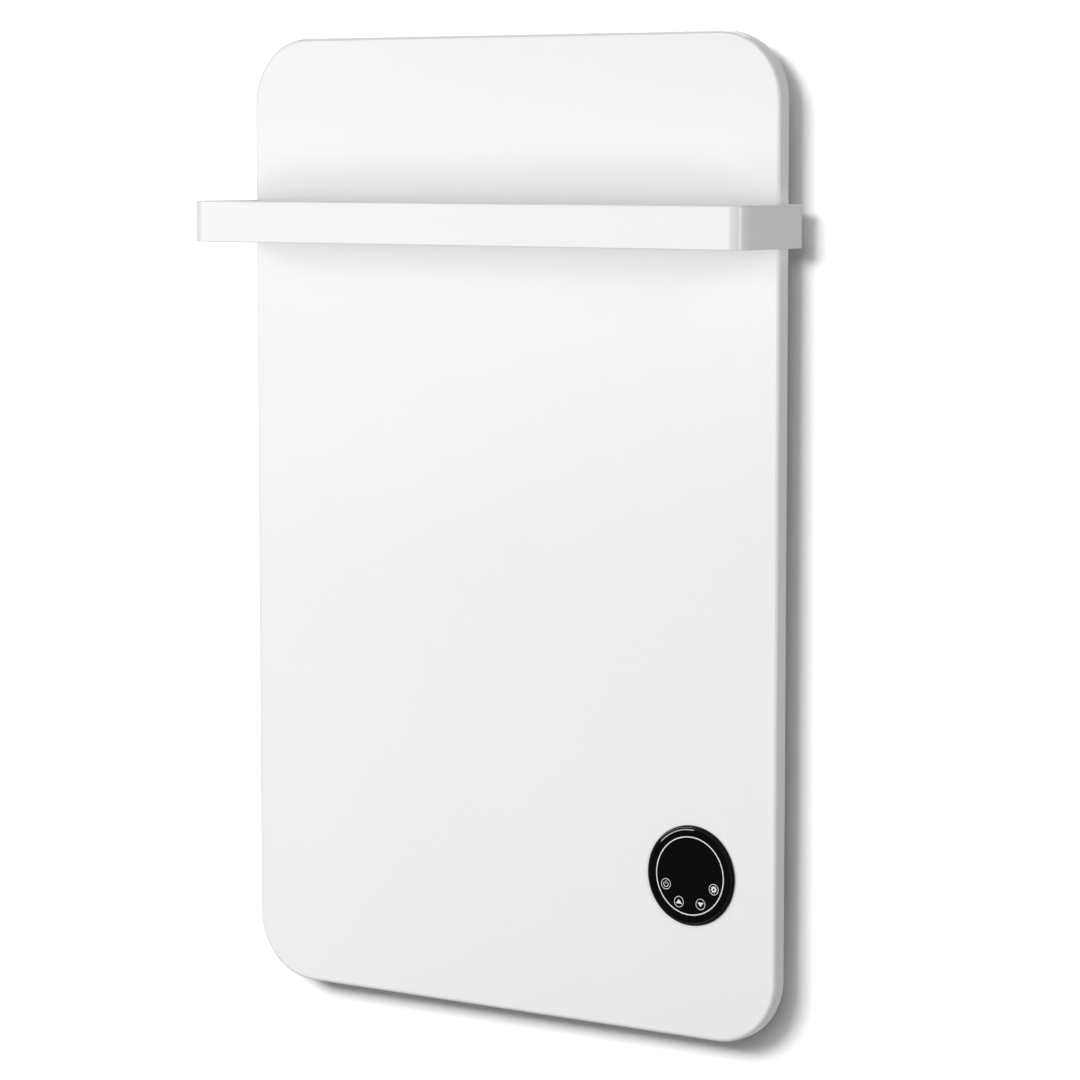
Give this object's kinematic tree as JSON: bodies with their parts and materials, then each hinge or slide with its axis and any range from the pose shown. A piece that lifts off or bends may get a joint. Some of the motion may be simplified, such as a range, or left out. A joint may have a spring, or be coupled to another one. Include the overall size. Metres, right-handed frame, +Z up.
{
  "type": "infrared towel warmer",
  "caption": "Flat wall-hung infrared heating panel with round corners, a U-shaped towel bar across its front and a round black touch control low on the right.",
  "frame": {"origin": "centre of the four wall holes, on the wall plane behind the panel's middle", "axes": "+Y into the wall, so the heating face looks along -Y; +X to the viewer's right; +Z up"},
  "size_m": [0.574, 0.116, 0.85],
  "materials": {
    "white_enamel": "smooth satin powder coat",
    "white_plastic": "moulded satin",
    "zinc_sheet": "galvanised sheet",
    "screw_steel": "zinc plated",
    "black_gloss": "polished",
    "black_glass": "polished, printed black behind",
    "black_plastic": "fine moulded texture",
    "rubber": "soft moulded",
    "foam": "open foam",
    "mica": "pressed mica sheet",
    "carbon_film": "printed film",
    "copper": "bare copper",
    "foil": "bright foil",
    "insulation": "needled fibre board",
    "circuit_board": "solder mask",
    "component_dark": "moulded",
    "component_yellow": "taped winding and moulded case",
    "terminal_green": "moulded",
    "brass_nut": "turned",
    "live_wire": "silicone sleeve",
    "neutral_wire": "silicone sleeve",
    "earth_wire": "silicone sleeve",
    "signal_wire": "PVC sleeve"
  },
  "bodies": {
    "wall_mount": {"upper_wall_rail": "zinc_sheet", "lower_wall_rail": "zinc_sheet"},
    "heater": {"bar_backing_plate_left": "zinc_sheet", "bar_backing_plate_right": "zinc_sheet", "bar_end_plug_left": "white_plastic", "bar_end_plug_right": "white_plastic", "bar_screws": "screw_steel", "board_screws": "screw_steel", "box_gasket": "rubber", "box_screws": "screw_steel", "busbar_live": "copper", "busbar_neutral": "copper", "busbar_terminals": "copper", "buzzer": "component_dark", "control_bezel": "black_gloss", "control_box": "black_plastic", "control_ring_nut": "black_plastic", "cover_screws": "screw_steel", "display_board": "circuit_board", "display_screws": "screw_steel", "earth_lead": "earth_wire", "earth_nut": "brass_nut", "earth_stud": "screw_steel", "filter_capacitor": "component_yellow", "front_panel": "white_enamel", "gland_body": "black_plastic", "gland_cap": "black_plastic", "gland_locknut": "black_plastic", "gland_seal": "rubber", "glass_seal": "rubber", "hanger_lower_left": "zinc_sheet", "hanger_lower_right": "zinc_sheet", "hanger_rivets": "screw_steel", "hanger_upper_left": "zinc_sheet", "hanger_upper_right": "zinc_sheet", "heating_strips": "carbon_film", "insulation_board": "insulation", "led_display": "component_dark", "live_leads": "live_wire", "mica_sheet_back": "mica", "mica_sheet_front": "mica", "neutral_lead": "neutral_wire", "ntc_probe": "component_dark", "overheat_cutout_lower": "component_dark", "overheat_cutout_upper": "component_dark", "power_board": "circuit_board", "probe_lead": "signal_wire", "rear_cover": "zinc_sheet", "reflector_foil": "foil", "relay": "component_dark", "ribbon_cable": "signal_wire", "spacer_pads": "foam", "terminal_block": "terminal_green", "touch_glass": "black_glass", "touch_pads": "foam", "towel_bar": "white_enamel", "transformer": "component_yellow"}
  },
  "joints": [
    {"name": "lift_off", "type": "slide", "parent": "wall_mount", "child": "heater", "axis": [0, 0, 1], "range_m": [0, 0.014]}
  ]
}
